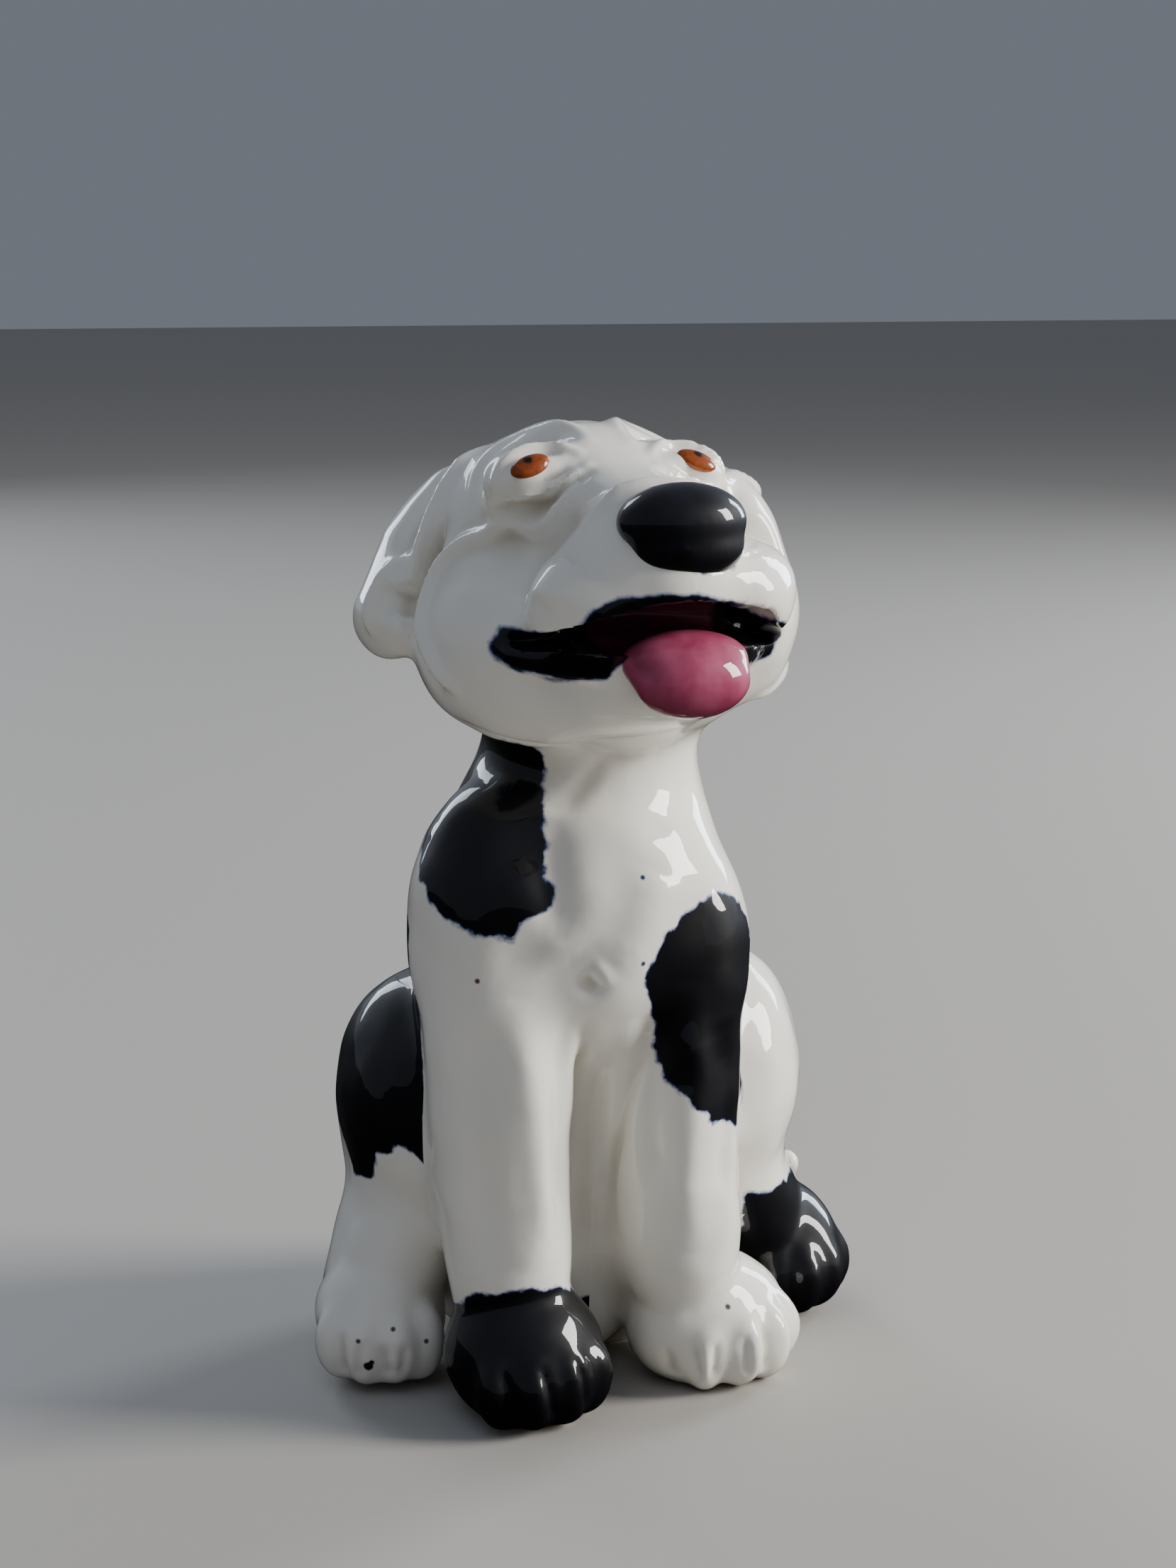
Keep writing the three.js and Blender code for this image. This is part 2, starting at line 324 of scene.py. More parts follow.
normals = read_normals()
for side in (-1, 1):
    # socket round the eye, brow above it, fold of the cheek below it
    stroke(both(side, (-23, -14, 15), (-21.5, -12, 20), (-17, -10, 25.5), (-12, -10, 28), (-8, -14, 28.5),
                      (-6.5, -19, 27)), 2.6, -2.4, to_face)
    stroke(both(side, (-23.5, -8.5, 12), (-22, -5, 18), (-19.5, -3, 22), (-15, -2, 26), (-10, -3, 29.5),
                      (-6.5, -7, 30), (-5, -13, 30), (-4, -21, 26.5)), 1.7, 1.1, to_face)
    stroke(both(side, (-23.5, -15, 14), (-22, -20, 15), (-16, -23.5, 17), (-9, -25, 19.5),
                      (-5.5, -25, 22)), 1.8, -1.6, to_face)
    # edge of the cheek, from the inner eye round to the jaw, and the valley behind it
    stroke(both(side, (-7, -26, 19.5), (-11, -26, 16.5), (-16, -25, 14), (-20.5, -21.5, 12.5),
                      (-23.5, -14, 11.5), (-25.5, -8, 9.5), (-28.5, -4, 3), (-30.5, -5, -3.5),
                      (-31.5, -7.5, -8), (-30.5, -12, -13), (-28, -17, -17)), 1.6, 2.0, to_face, ends=0.1)
    stroke(both(side, (-23.5, -2, 14), (-26, 0, 9), (-28, 0, 2), (-30.5, -1, -5), (-31.5, -4.5, -9.5),
                      (-31, -8.5, -13), (-29, -12, -17)), 1.9, -3.2, to_face)
    # rim at the front of the ear, the step behind it and the turned-out tip
    stroke(both(side, (-12, 11, 25), (-17, 7, 22.5), (-22, 4, 17.5), (-27, 3.5, 8.5),
                      (-30.5, 3, -1)), 1.6, 2.0, to_face)
    stroke(both(side, (-15.5, 13, 22), (-21, 9.5, 18), (-26, 8, 12), (-30, 7, 4)), 2.0, -2.4, to_face)
    stroke(both(side, (-31, 3, 1), (-32.5, 2, -2), (-33.5, 1, -6)), 3.0, -3.2, to_face)
    stroke(both(side, (-31, 7, 5), (-34.5, 7.5, 1), (-37, 7.5, -5), (-37, 6.5, -10)), 1.8, 2.0, to_face)
    # crease between muzzle and cheek
    stroke(both(side, (-6, -31, 18), (-10, -30, 15.5), (-15, -28.5, 11.5), (-19, -26, 6.5),
                      (-22.5, -31, -2)), 3.2, -2.6, to_face)
    # roll of the muzzle over the corner of the mouth
    stroke(both(side, (-14, -38, 7), (-17, -38, 4), (-19, -38, 0)), 5.0, 1.8, to_face)
# the left side of the muzzle stands further forward of its cheek
stroke([(20, -22, 14), (25, -23, 9), (28.5, -25, 4), (29.5, -28, -1), (28.5, -30, -5)], 2.6, -3.6, to_face)
write_clay()
normals = read_normals()
for side in (-1, 1):
    # eyeball, upper and lower eyelid with a groove inside each
    stroke(both(side, (-18.5, -20, 21), (-15.5, -20.5, 22), (-12.5, -21, 23)), 3.4, 1.6, to_face, ends=0)
    stroke(both(side, (-23, -18.5, 17.5), (-20.5, -18.5, 22), (-16, -17.5, 25.5), (-12, -17.5, 26.5),
                      (-8.5, -20, 26.5), (-6, -23, 25)), 0.9, 1.4, to_face)
    stroke(both(side, (-23, -18.5, 17), (-20, -22, 17.5), (-14, -23.5, 19.5), (-8, -24.5, 22.5),
                      (-5.5, -24.5, 24.5)), 0.9, 1.3, to_face)
    stroke(both(side, (-20.5, -20.5, 19), (-15, -22.5, 20.5), (-9.5, -23, 23.5)), 0.9, -0.9, to_face)
    stroke(both(side, (-20.5, -19, 21), (-16, -18.5, 24), (-9.5, -20.5, 25)), 0.9, -0.9, to_face)
# ledge of clay over the nose
stroke([(-12, -36, 15), (-9, -37, 19), (-4, -38, 21.5), (2, -39, 22.3), (8, -38, 21.5), (13, -36, 18)],
       1.5, 1.8, to_face)
# pit in the breastbone, groove between the legs, crease under the jaw
stroke([(-8.5, -34.5, 86), (-8, -34.5, 85.5), (-7.5, -34.5, 85)], 2.0, -1.5, ends=0)
stroke([(-5.5, -34.5, 84.5), (-5, -34.5, 86.5), (-6, -34.5, 88.5), (-8.5, -34.5, 89)], 1.3, 0.6)
stroke([(-9, -30, 79), (-8.5, -26, 70), (-7, -22, 55), (-6, -20, 40), (-5.5, -19, 22)], 1.7, -2.0, ends=0.2)
stroke([(5, -33, 80), (3, -29, 70), (0.5, -24, 55), (-2, -20, 42), (-3.5, -19, 28)], 2.0, -1.6, ends=0.3)
# grooves between the toes
for x, y, z, lean in (
    (9, -27, 11, 0.5), (13, -30.5, 12, 0.5), (18, -32.5, 13, 0.5), (23.5, -32.5, 14, 0.5),
    (29, -29.5, 15, 0.5), (-26.5, -40, 15, 3), (-19.5, -42, 16, 4), (-12, -40, 16.5, 4),
    (-53, -12, 14, -0.5), (-49.5, -16, 13, -0.5), (-45, -17, 12, 0), (-41, -18, 12, 0.5),
):
    stroke([(x, y, z), (x + lean / 2, y - 0.5, z * 0.55), (x + lean, y, 1.5)], 1.1, -1.1, ends=0.3)
# hollow beside the patch, from the throat down to the breastbone
stroke([(-14, -29, 118), (-15, -32, 110), (-15, -34, 101), (-13, -35, 93)], 3.5, -1.0)
# the forelegs have flat sides with a tendon down the front
stroke([(-22, -38, 84), (-19, -37, 64), (-17, -36, 46), (-18, -35, 30)], 3.5, 1.3)
stroke([(-30, -34, 80), (-30, -34, 60), (-28, -33, 40), (-27, -33, 30)], 4.0, -1.4)
stroke([(-12, -35, 80), (-11, -34, 62), (-11, -33, 44), (-12, -32, 32)], 3.0, -1.2)
stroke([(12, -34, 84), (13, -33, 66), (12, -33, 46), (14, -31, 30)], 3.5, 1.2)
stroke([(20, -30, 76), (21, -30, 58), (20, -30, 40)], 3.5, -1.2)
stroke([(4, -33, 78), (4, -32, 60), (5, -31, 42)], 3.0, -1.2)
# collarbones above the pit
stroke([(-24, -36, 112), (-18, -38, 100), (-12, -37, 90)], 5.0, 1.0)
stroke([(6, -38, 108), (3, -38, 96), (-3, -37, 88)], 5.0, 0.8)
stroke([(-31, -22, 134), (-25, -30, 131.5), (-16, -31, 130), (-5.5, -27, 128.5), (0, -27, 128)],
       1.6, -1.3, ends=0.4)
# folds of skin on the throat
stroke([(-15, -27, 118), (-9, -29, 122), (-3, -29, 125), (5, -27, 126)], 2.2, -0.7)
write_clay()
apply_modifier(original, "SMOOTH", factor=0.5, iterations=2)

# Where the surface is hollow the wet glaze gathers, and the colour there is also darkened as painted shade
# in the creases. The hollow is measured against a softened copy.
clay = coordinates(original)
soft = original.copy()
soft.data = original.data.copy()
bpy.context.scene.collection.objects.link(soft)
apply_modifier(soft, "SMOOTH", factor=0.5, iterations=60)
hollow = np.einsum("ij,ij->i", coordinates(soft) - clay, read_normals())
bpy.data.objects.remove(soft)
hollow_depth = original.data.attributes.new("hollow", "FLOAT", "POINT")
hollow_depth.data.foreach_set("value", hollow.astype(np.float32))

# The uncut surface, which small things are later laid on.
skin = BVHTree.FromObject(original, bpy.context.evaluated_depsgraph_get())


# ---------------------------------------------------------------- cutting the original apart
# The modeller cuts the original with a wire, and each piece is cast from its own mould. The cuts are the
# ones in the frame. Each keeps the side where normal . point > distance, in mm on the modeller's axes.

NECK_Z, ELBOW_Z, HIP_Z, ANKLE_Z = 128, 74, 78, 26
HEEL_Y, HIP_X, RUMP_Y = -2, 25, 38
RIGHT_SLANT = ((-0.68, 0.73, 0), 12.3)
LEFT_LEG_SLANT = ((0.447, 0.894, 0), 2.7)
LEFT_PAW_SLANT = ((0.616, 0.788, 0), 19.5)


def turned(cut):
    """The other side of a cut."""
    return tuple(-n for n in cut[0]), -cut[1]


def above(z):
    return (0, 0, 1), z


def below(z):
    return (0, 0, -1), -z


shank = [above(ANKLE_Z), below(ELBOW_Z)]
hip = [above(ANKLE_Z), below(HIP_Z)]
foot = [below(ANKLE_Z)]
right_of_web, left_of_web = ((-1, 0, 0), -LEG_SPLIT_X), ((1, 0, 0), LEG_SPLIT_X)
right_of_hip, left_of_hip = ((-1, 0, 0), HIP_X), ((1, 0, 0), HIP_X)
before_chest, before_heel, before_rump = [((0, -1, 0), -y) for y in (CHEST_Y, HEEL_Y, RUMP_Y)]

body_cuts = {
    "foreleg_right": [right_of_web, before_chest, turned(RIGHT_SLANT), *shank],
    "foreleg_left": [left_of_web, before_chest, turned(LEFT_LEG_SLANT), *shank],
    "haunch_right": [right_of_hip, before_rump, RIGHT_SLANT, *hip],
    "haunch_left": [left_of_hip, before_rump, LEFT_LEG_SLANT, *hip],
    "front_paw_right": [right_of_web, before_chest, turned(RIGHT_SLANT), *foot],
    "front_paw_left": [left_of_web, before_heel, turned(LEFT_PAW_SLANT), *foot],
    "hind_paw_right": [right_of_hip, before_rump, RIGHT_SLANT, *foot],
    "hind_paw_left": [left_of_hip, before_rump, LEFT_PAW_SLANT, *foot],
}
head_cuts = {
    "lower_jaw": [((0, -1, 0), 14), below(-8)],
    "ear_right": [((-0.91, 0, 0.41), 24.4), ((0, 1, 0), 0)],
    "ear_left": [((0.91, 0, 0.41), 26.4), ((0, 1, 0), 0)],
}


def carved_block(cuts, place=DOG):
    """A block cut down to the space inside a run of cuts."""
    bpy.ops.mesh.primitive_cube_add(size=500 * MM)
    block = bpy.context.object
    bpy.ops.object.mode_set(mode="EDIT")
    for normal, distance in cuts:
        n = Vector(normal).normalized()
        bpy.ops.mesh.select_all(action="SELECT")
        bpy.ops.mesh.bisect(plane_co=place @ (n * distance * MM), plane_no=place.to_3x3() @ n,
                            clear_inner=True, use_fill=True)
    bpy.ops.mesh.select_all(action="SELECT")
    bpy.ops.mesh.normals_make_consistent(inside=False)
    bpy.ops.object.mode_set(mode="OBJECT")
    return block


def copy_of(piece, name):
    twin = piece.copy()
    twin.data = piece.data.copy()
    twin.name = name
    bpy.context.scene.collection.objects.link(twin)
    return twin


def take_out(body, name, cuts, place=DOG):
    """Cuts one piece out of a body of clay and leaves the rest."""
    block = carved_block(cuts, place)
    piece = copy_of(body, name)
    apply_modifier(piece, "BOOLEAN", operation="INTERSECT", solver="MANIFOLD", object=block)
    apply_modifier(body, "BOOLEAN", operation="DIFFERENCE", solver="MANIFOLD", object=block)
    bpy.data.objects.remove(block)
    return piece


# The underside is ground flat before the cuts, and an air vent is drilled up through it for the firing.
VENT_RADIUS = 3
VENT_DEPTH = 30
VENT_PLACE = Vector((2, 20, 0))
torso = take_out(original, "torso_casting", [above(0)])
bpy.ops.mesh.primitive_cylinder_add(vertices=48, radius=VENT_RADIUS * MM, depth=2 * VENT_DEPTH * MM,
                                    location=DOG @ (VENT_PLACE * MM))
vent = bpy.context.object
apply_modifier(torso, "BOOLEAN", operation="DIFFERENCE", solver="MANIFOLD", object=vent)
bpy.data.objects.remove(vent)
bpy.data.objects.remove(original)
pieces = {"head_casting": take_out(torso, "head_casting", [above(NECK_Z)])}
for name, cuts in body_cuts.items():
    pieces[name] = take_out(torso, name, cuts)
for name, cuts in head_cuts.items():
    pieces[name] = take_out(pieces["head_casting"], name, cuts, HEAD)
pieces["torso_casting"] = torso


# ---------------------------------------------------------------- tail
# A roll of earthenware, tapered between the palms, wrapped round the left hip and luted on. Only the tip
# stands a little free, turned up against the haunch.

tail = work_together(limb([
    (4, 45, 17, 11, 11, 11), (14, 48.5, 15, 10.5, 10.5, 10.5), (24, 49, 14, 10, 10, 10),
    (34, 46, 14.5, 9, 9, 9), (42, 40.5, 17, 8, 8, 8), (46.5, 33.5, 21, 6.6, 6.6, 6.6),
    (48, 27, 25, 5, 5, 5), (48.5, 20.5, 29, 2.8, 2.8, 2.8),
], steps=3), grain=0.9, rounds=14)
pieces["tail"] = tail


# ---------------------------------------------------------------- painting
# The black is an underglaze, brushed by hand on the fired white clay before the clear glaze. Each patch is
# an outline in mm, and every vertex keeps how far inside the paint it lies.

UNPAINTED = -20
CHEST_FACING, FORELEG_FACING, HAUNCH_FACING = -40, 10, -75


def edge_distance(points, outline):
    """mm inside (over 0) or outside (under 0) a closed outline, both flat."""
    a = np.array(outline, float)
    b = np.roll(a, -1, axis=0)
    nearest = np.full(len(points), 1e9)
    inside = np.zeros(len(points), bool)
    for p, q in zip(a, b):
        along = np.clip(((points - p) @ (q - p)) / ((q - p) @ (q - p)), 0, 1)
        nearest = np.minimum(nearest, np.linalg.norm(points - p - along[:, None] * (q - p), axis=1))
        crosses = (p[1] > points[:, 1]) != (q[1] > points[:, 1])
        if p[1] != q[1]:
            where = p[0] + (points[:, 1] - p[1]) * (q[0] - p[0]) / (q[1] - p[1])
            inside ^= crosses & (points[:, 0] < where)
    return np.where(inside, nearest, -nearest)


def patch(co, facing, front, outline):
    """Paint inside an outline drawn as it looks from one side. facing is that side in degrees, 0 for the
    front and -90 for the dog's right. front is how far towards that side the paint starts, in mm."""
    a = math.radians(facing)
    across = co @ np.array((math.cos(a), math.sin(a), 0))
    towards = co @ np.array((math.sin(a), -math.cos(a), 0))
    flat = np.stack([across, co[:, 2]], axis=1)
    return np.minimum(edge_distance(flat, outline), towards - front)


def store(piece, name, values):
    attribute = piece.data.attributes.new(name, "FLOAT", "POINT")
    attribute.data.foreach_set("value", values.astype(np.float32))


for name, piece in pieces.items():
    co = coordinates(piece)
    black = np.full(len(co), float(UNPAINTED))
    if name in ("torso_casting", "head_casting", "foreleg_right"):
        chest = patch(co, CHEST_FACING, 14, [
            (3, 136), (3, 126), (7, 108), (10, 104), (9, 99), (5, 98), (4, 95), (-7, 97), (-13, 101),
            (-20, 108), (-20, 116), (-16, 136)])
        if name == "head_casting":
            chest = np.minimum(chest, 131 - co[:, 2])
        black = np.maximum(black, chest)
    if name in ("torso_casting", "foreleg_left"):
        black = np.maximum(black, patch(co, FORELEG_FACING, 10, [
            (4, 97), (9, 99), (15, 99.5), (21, 97), (25, 84), (28, 69), (27, 57), (22, 52), (10, 57),
            (1.5, 65), (0, 76), (-3, 86), (0, 93)]))
    if name in ("torso_casting", "haunch_right", "foreleg_right"):
        haunch = patch(co, HAUNCH_FACING, 12, [
            (8, 48), (2, 50), (-4, 47), (-8, 41), (-14, 40), (-20, 44), (-27, 54), (-30, 66), (-27, 80),
            (-24, 92), (-14, 100), (-2, 100), (3, 92), (4, 75), (8, 60)])
        if name == "foreleg_right":
            haunch = np.minimum(haunch, co[:, 1] + 10)
        black = np.maximum(black, haunch)
    if name in ("front_paw_right", "foreleg_right"):
        black = np.maximum(black, np.minimum(8.9 - 0.53 * co[:, 1] - co[:, 2], co[:, 0] + 35))
    if name in ("hind_paw_left", "haunch_left"):
        black = np.maximum(black, np.minimum(31 - co[:, 2], co[:, 0] - 32))
    lips = np.full(len(co), float(UNPAINTED))
    if name in ("head_casting", "lower_jaw"):
        to_head = np.array(HEAD.inverted() @ DOG)
        local = co @ to_head[:3, :3].T + to_head[:3, 3] / MM
        lips = edge_distance(local[:, [0, 2]], [
            (-28, -7), (-26, -4), (-23, -4), (-20, -3), (-17, 1), (-13, 3), (-6, 3.5), (2, 3), (12, 0),
            (22, -4), (27.5, -8), (26, -12), (14, -13), (0, -13), (-10, -9), (-12, -12), (-18, -13),
            (-24, -11.5), (-27, -10)])
        lips = np.minimum(lips, -14 - local[:, 1])
        under_nose = edge_distance(local[:, [0, 2]], [
            (-9.5, 13), (-8, 9), (-3, 7.5), (4, 7), (9, 8), (11.5, 10.5), (12, 14), (1, 18)])
        black = np.maximum(black, np.minimum(under_nose, -37 - local[:, 1]))
        inside = np.minimum(np.minimum(local[:, 1] + 43.5, 13.5 - abs(local[:, 0] - 1.5)), lips)
        store(piece, "gums", inside)
    store(piece, "black", black)
    store(piece, "lips", lips)


# ---------------------------------------------------------------- white glaze and black patches
# Cream earthenware under a thick, clear gloss glaze, which gathers in the hollows and is thinner on the
# ridges; the hollows are also darkened as painted shade. The black underglaze bleeds a little blue along
# its ragged edge, and the foot is wiped bare.

CLEAR_GLAZE_IOR = 1.42  # a little under a real glaze's 1.5, so that the black stays deep


def paint(code):
    """A display colour such as #a04010 as linear light."""
    values = [int(code[i:i + 2], 16) / 255 for i in (1, 3, 5)]
    return tuple(v / 12.92 if v <= 0.04045 else ((v + 0.055) / 1.055) ** 2.4 for v in values) + (1,)


def add(tree, kind, inputs=(), **settings):
    """Adds a node. inputs pairs a socket with a value or with another node's output."""
    node = tree.nodes.new("ShaderNode" + kind)
    for name, value in settings.items():
        setattr(node, name, value)
    for socket, value in dict(inputs).items():
        if isinstance(value, bpy.types.NodeSocket):
            tree.links.new(value, node.inputs[socket])
        else:
            node.inputs[socket].default_value = value
    return node


def blend(tree, amount, under, over):
    """Lays one colour over another."""
    return add(tree, "Mix", {0: amount, 6: under, 7: over}, data_type="RGBA").outputs[2]


def glazed(name):
    """Matt earthenware under a smooth clear coat: soft colour with sharp, bright reflections."""
    material = bpy.data.materials.new(name)
    material.use_nodes = True
    tree = material.node_tree
    shader = tree.nodes["Principled BSDF"]
    shader.inputs["Roughness"].default_value = 0.5
    shader.inputs["Specular IOR Level"].default_value = 0.15
    shader.inputs["Coat Weight"].default_value = 1.0
    shader.inputs["Coat Roughness"].default_value = 0.02
    shader.inputs["Coat IOR"].default_value = CLEAR_GLAZE_IOR
    return material, tree, shader


white, tree, shader = glazed("glazed earthenware")
place = add(tree, "TexCoord").outputs["Object"]
rag = add(tree, "TexNoise", {"Vector": place, "Scale": 230.0, "Detail": 3.0, "Roughness": 0.5})
rag_mm = add(tree, "MapRange", {"Value": rag.outputs["Fac"], "From Min": 0.3, "From Max": 0.7,
                                "To Min": -0.9, "To Max": 0.9})
black = add(tree, "Attribute", attribute_name="black")
lips = add(tree, "Attribute", attribute_name="lips")
brushed = add(tree, "Math", {0: black.outputs["Fac"], 1: rag_mm.outputs["Result"]}, operation="ADD")
lined = add(tree, "Math", {0: rag_mm.outputs["Result"], 1: 0.5, 2: lips.outputs["Fac"]},
            operation="MULTIPLY_ADD")
edge = add(tree, "Math", {0: brushed.outputs["Value"], 1: lined.outputs["Value"]}, operation="MAXIMUM")
cover = add(tree, "MapRange", {"Value": edge.outputs["Value"], "From Min": -0.05, "From Max": 0.45})
bleed = add(tree, "MapRange", {"Value": edge.outputs["Value"], "From Min": -0.5, "From Max": 0.3})
tone = add(tree, "TexNoise", {"Vector": place, "Scale": 30.0, "Detail": 3.0})
body = blend(tree, tone.outputs["Fac"], paint("#f7f4ec"), paint("#ede8da"))
# hollows are tinted a darker tan: partly glaze gathered there, partly painted shade in the creases
hollow = add(tree, "Attribute", attribute_name="hollow")
painted_shade = add(tree, "MapRange", {"Value": hollow.outputs["Fac"], "From Min": 0.1, "From Max": 1.4,
                                "To Max": 0.75})
body = blend(tree, painted_shade.outputs["Result"], body, paint("#b9a988"))
blue = blend(tree, bleed.outputs["Result"], body, paint("#2a4a86"))
gums = add(tree, "Attribute", attribute_name="gums")
gum_cover = add(tree, "MapRange", {"Value": gums.outputs["Fac"], "From Min": 0.0, "From Max": 2.0})
inner = blend(tree, gum_cover.outputs["Result"], paint("#08080d"), paint("#5e1a34"))
color = blend(tree, cover.outputs["Result"], blue, inner)
# small specks of cobalt and iron that fell on the glaze, each X, Y, Z and radius in mm
for x, y, z, radius, code in (
    (2, -33, 105, 0.3, "#23355f"), (2, -35, 89, 0.3, "#2d3c66"), (-29, -32, 87, 0.3, "#6b3a2a"),
    (-50, -16, 12, 0.3, "#4a4a52"), (-43, -17, 15, 0.3, "#4a4a52"), (-48, -16, 6.5, 0.8, "#1d1d22"),
    (-47, -16, 7.5, 0.4, "#1d1d22"), (-36, -16, 11, 0.3, "#4a4a52"), (21, -28, 17.5, 0.4, "#4a4640"),
    (-18, -8, 180, 0.4, "#5a4a3c"),
):
    spot = skin.find_nearest(DOG @ (Vector((x, y, z)) * MM))[0]
    away = add(tree, "VectorMath", {0: place, 1: spot}, operation="DISTANCE")
    fleck = add(tree, "MapRange", {"Value": away.outputs["Value"], "From Min": radius * MM,
                                   "From Max": (radius + 0.35) * MM, "To Min": 1.0, "To Max": 0.0})
    color = blend(tree, fleck.outputs["Result"], color, paint(code))
# the foot is wiped clean of glaze
height = add(tree, "SeparateXYZ", {0: place}).outputs["Z"]
wiped = add(tree, "MapRange", {"Value": height, "From Min": 0.5 * MM, "From Max": 0.8 * MM,
                               "To Min": 1.0, "To Max": 0.0})
color = blend(tree, wiped.outputs["Result"], color, paint("#d8c8ab"))
tree.links.new(color, shader.inputs["Base Color"])
ripple = add(tree, "TexNoise", {"Vector": place, "Scale": 120.0, "Detail": 2.0})
bump = add(tree, "Bump", {"Height": ripple.outputs["Fac"], "Strength": 0.25, "Distance": 0.0006})
tree.links.new(bump.outputs["Normal"], shader.inputs["Normal"])
tree.links.new(bump.outputs["Normal"], shader.inputs["Coat Normal"])


def fire(name, piece, material):
    """Finishes a piece: its glaze, smooth faces and the CAD node that it stands for."""
    piece.name = name + "_glazed"
    piece.data.materials.clear()
    piece.data.materials.append(material)
    select_only(piece)
    bpy.ops.object.shade_smooth_by_angle(angle=math.radians(50))
    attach(piece, "root")
    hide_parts(name)


for name, piece in pieces.items():
    fire(name, piece, white)


# ---------------------------------------------------------------- nose
# A pad of earthenware pressed on above the muzzle, black all over under the gloss glaze. The brushed coat
# is slightly uneven, and the underside is painted darker as shade.

nose = work_together([lump((0.3, -44, 15.2), (12.2, 8.5, 7), frame=HEAD),
                      lump((0.8, -45.3, 11.0), (10.8, 7, 6.4), frame=HEAD)], grain=0.6, rounds=30)


def brushed_glaze(name, thin, thick, painted_shade, mottle_mm):
    """One colour brushed on by hand: paler where the coat is thin, deeper where it is thick, and darker on
    faces that turn downward, as painted shade. mottle_mm is the size of the uneven patches."""
    material, tree, shader = glazed(name)
    place = add(tree, "TexCoord").outputs["Object"]
    coat = add(tree, "TexNoise", {"Vector": place, "Scale": 1000 / mottle_mm, "Detail": 3.0})
    contrast = add(tree, "MapRange", {"Value": coat.outputs["Fac"], "From Min": 0.35, "From Max": 0.65})
    color = blend(tree, contrast.outputs["Result"], paint(thin), paint(thick))
    # faces turned downward get the darkest colour: painted shade
    facing = add(tree, "NewGeometry").outputs["Normal"]
    low = add(tree, "SeparateXYZ", {0: facing}).outputs["Z"]
    facing_down = add(tree, "MapRange", {"Value": low, "From Min": 0.1, "From Max": -0.9})
    color = blend(tree, facing_down.outputs["Result"], color, paint(painted_shade))
    tree.links.new(color, shader.inputs["Base Color"])
    ripple = add(tree, "TexNoise", {"Vector": place, "Scale": 160.0, "Detail": 2.0})
    bump = add(tree, "Bump", {"Height": ripple.outputs["Fac"], "Strength": 0.35, "Distance": 0.0006})
    tree.links.new(bump.outputs["Normal"], shader.inputs["Coat Normal"])
    return material


# the last colour is painted shade on the nose's underside
black_glaze = brushed_glaze("black glaze", "#12131c", "#07070b", "#050508", 5)
fire("nose", nose, black_glaze)


# ---------------------------------------------------------------- tongue
# A tongue of earthenware rolled by hand and laid over the lower lip. Its rose glaze is paler where the
# coat is thin, and painted darker underneath as shade.

tongue = work_together(limb([
    (2, -34, -10, 10, 8, 3.5), (2, -42, -9.5, 12.3, 6, 5.5), (2.4, -45, -13, 11, 5.2, 6.6),
], HEAD), grain=0.6, rounds=12)

# the last colour is painted shade on the tongue's underside
rose_glaze = brushed_glaze("rose glaze", "#b25472", "#943252", "#6d1f3c", 7)
fire("tongue", tongue, rose_glaze)


# ---------------------------------------------------------------- eyes
# Shallow ovals of earthenware pressed into the sockets, square to the clay under them. Each is brushed with
# streaky amber glaze and has a small black pupil.

EYE_RADII = (3.9, 1.3, 2.2)
EYE_SINK = 0.5


def eye_glaze(name, pupil):
    """Amber glaze brushed on in streaks, with a small black pupil."""
    material, tree, shader = glazed(name)
    place = add(tree, "TexCoord").outputs["Object"]
    streak = add(tree, "TexNoise", {"Vector": place, "Scale": 900.0, "Detail": 2.0})
    amber = blend(tree, streak.outputs["Fac"], paint("#ae561d"), paint("#5a1e08"))
    away = add(tree, "VectorMath", {0: place, 1: pupil}, operation="DISTANCE")
    dot = add(tree, "MapRange", {"Value": away.outputs["Value"], "From Min": 0.6 * MM, "From Max": 1.1 * MM,
                                 "To Min": 1.0, "To Max": 0.0})
    color = blend(tree, dot.outputs["Result"], amber, paint("#0b0706"))
    tree.links.new(color, shader.inputs["Base Color"])
    return material


for side, x, tilt in (("right", -16.6, -20), ("left", 15.8, 20)):
    spot, normal = skin.find_nearest(FACE @ (Vector((x, -21, 22.8)) * MM))[:2]
    up = FACE.to_3x3() @ (Matrix.Rotation(math.radians(tilt), 3, "Y") @ Vector((0, 0, 1)))
    across = up.cross(normal).normalized()
    facing = Matrix((across, normal, across.cross(normal))).transposed().to_4x4()
    seat = Matrix.Translation(spot - normal * EYE_SINK * MM) @ facing
    eye = lump((0, 0, 0), EYE_RADII, frame=seat)
    bpy.ops.object.transform_apply(location=True, rotation=True, scale=True)
    pupil = spot + (up * 0.9 - across * 0.2) * MM
    fire("eye_" + side, eye, eye_glaze(side + " eye glaze", pupil))


# ---------------------------------------------------------------- floor and light
# A plain pale table of matt laminate. The light is two windows on the puppy's left, a rim from behind, and
# soft sky from all round.

TABLE_SIZE = 12
bpy.ops.mesh.primitive_plane_add(size=TABLE_SIZE)
floor = bpy.context.object
floor.name = "floor"

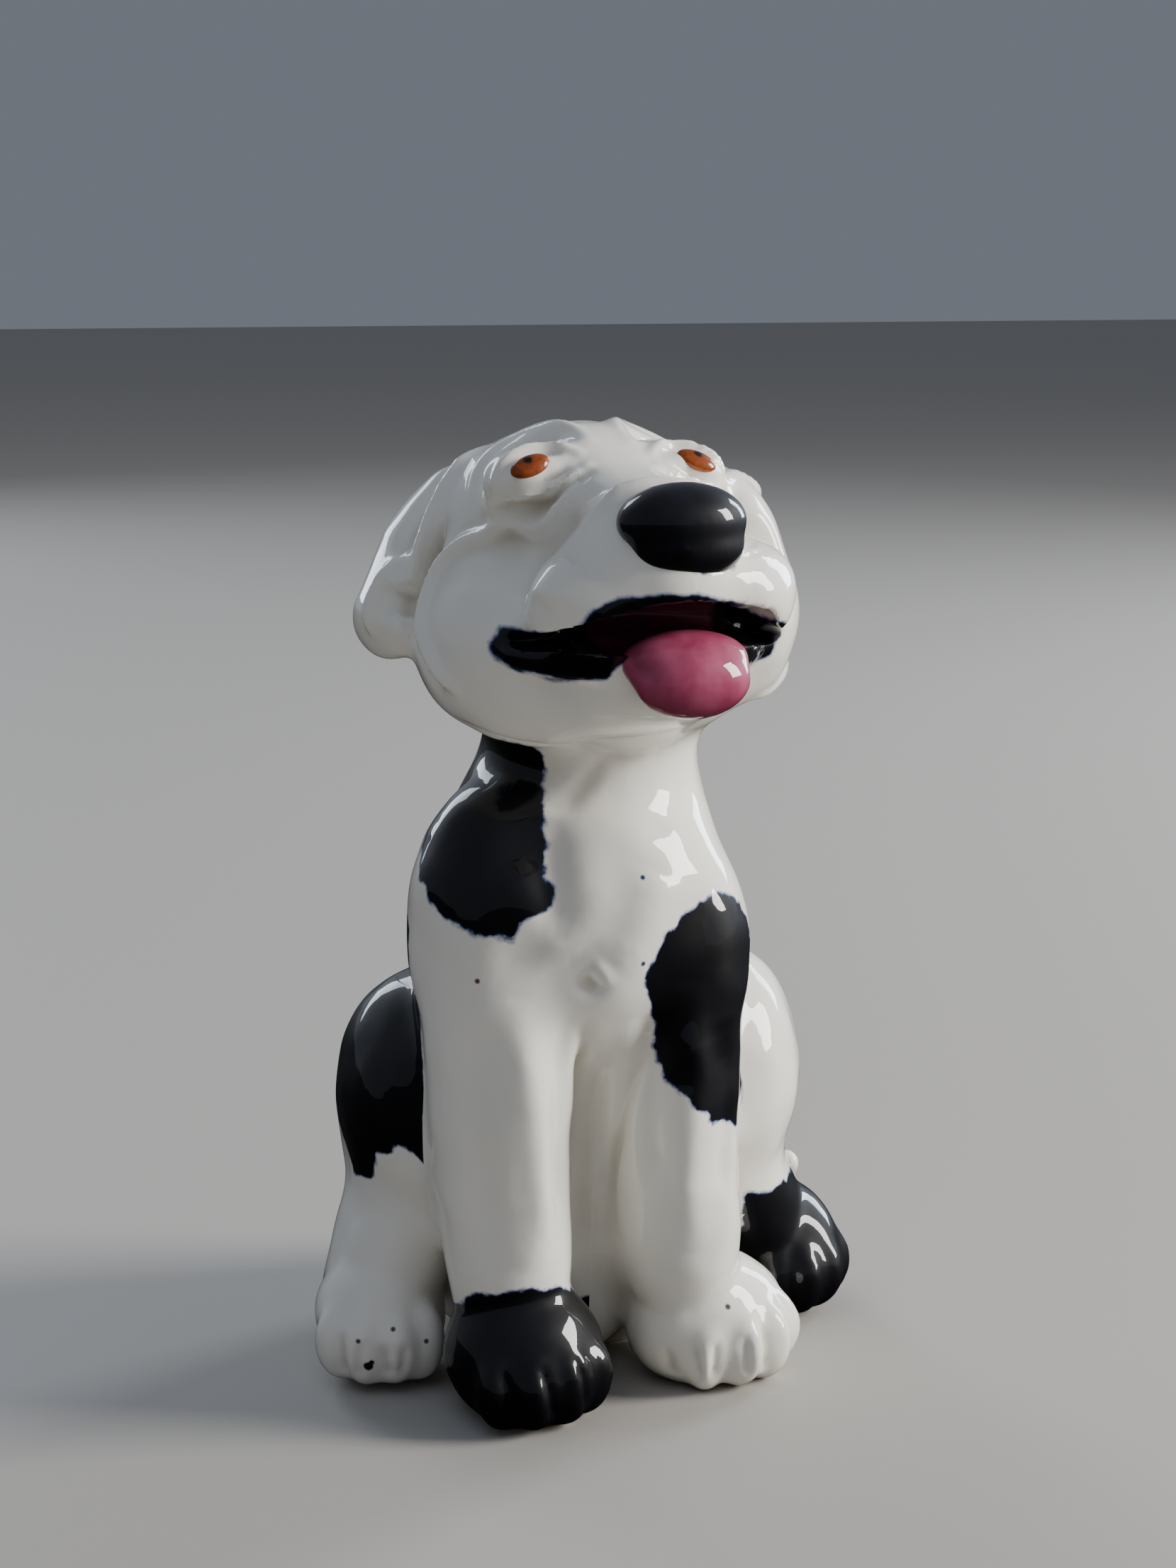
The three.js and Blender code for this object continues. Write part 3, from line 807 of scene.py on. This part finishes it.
floor_material = bpy.data.materials.new("pale table")
floor_material.use_nodes = True
floor_shader = floor_material.node_tree.nodes["Principled BSDF"]
floor_shader.inputs["Roughness"].default_value = 0.6
floor_tree = floor_material.node_tree
matt = add(floor_tree, "TexNoise", {"Scale": 6.0, "Detail": 3.0})
floor_tree.links.new(blend(floor_tree, matt.outputs["Fac"], paint("#b2ada6"), paint("#aca7a0")),
                     floor_shader.inputs["Base Color"])
floor.data.materials.append(floor_material)

# A dark sheet under the table, hidden from the camera, from diffuse light and from shadows, is what the
# glaze mirrors instead of the pale table: a painted dark reflection, which keeps the black glaze black.
floor.visible_glossy = False
bpy.ops.mesh.primitive_plane_add(size=TABLE_SIZE, location=(0, 0, -2 * MM))
reflection_card = bpy.context.object
reflection_card.name = "dark_reflection_card"
reflection_card.visible_camera = False
reflection_card.visible_diffuse = False
reflection_card.visible_shadow = False
reflection_card_material = bpy.data.materials.new("dark reflection card")
reflection_card_material.use_nodes = True
reflection_card_shader = reflection_card_material.node_tree.nodes["Principled BSDF"]
reflection_card_shader.inputs["Roughness"].default_value = 0.9
reflection_card_tree = reflection_card_material.node_tree
nap = add(reflection_card_tree, "TexNoise", {"Scale": 12.0, "Detail": 4.0})
reflection_card_tree.links.new(blend(reflection_card_tree, nap.outputs["Fac"], paint("#423b35"), paint("#36302c")),
                     reflection_card_shader.inputs["Base Color"])
reflection_card.data.materials.append(reflection_card_material)


def area(name, place, size, watts, color):
    """A rectangular lamp in metres and watts, aimed at the middle of the puppy."""
    light = bpy.data.objects.new(name, bpy.data.lights.new(name, "AREA"))
    bpy.context.scene.collection.objects.link(light)
    light.location = place
    light.rotation_euler = (Vector((0, 0, 0.09)) - Vector(place)).to_track_quat("-Z", "Y").to_euler()
    light.data.shape = "RECTANGLE"
    light.data.size, light.data.size_y = size
    light.data.energy = watts
    light.data.color = color
    return light


area("window", (1.6, -0.4, 0.72), (0.55, 0.85), 52, (1, 0.98, 0.95))
area("second window", (1.3, 0.75, 0.6), (0.35, 0.8), 16, (0.8, 0.89, 1))
area("rim", (-0.55, 1.6, 0.8), (0.5, 1.2), 10, (0.8, 0.89, 1))
skylight = area("skylight", (-0.35, -0.3, 1.3), (1.1, 1.1), 3, (0.66, 0.78, 1))
skylight.visible_glossy = False
world = bpy.data.worlds.new("studio")
world.use_nodes = True
world.node_tree.nodes["Background"].inputs["Color"].default_value = paint("#aeb6c4")
world.node_tree.nodes["Background"].inputs["Strength"].default_value = 0.37
bpy.context.scene.world = world

bpy.context.view_layer.update()
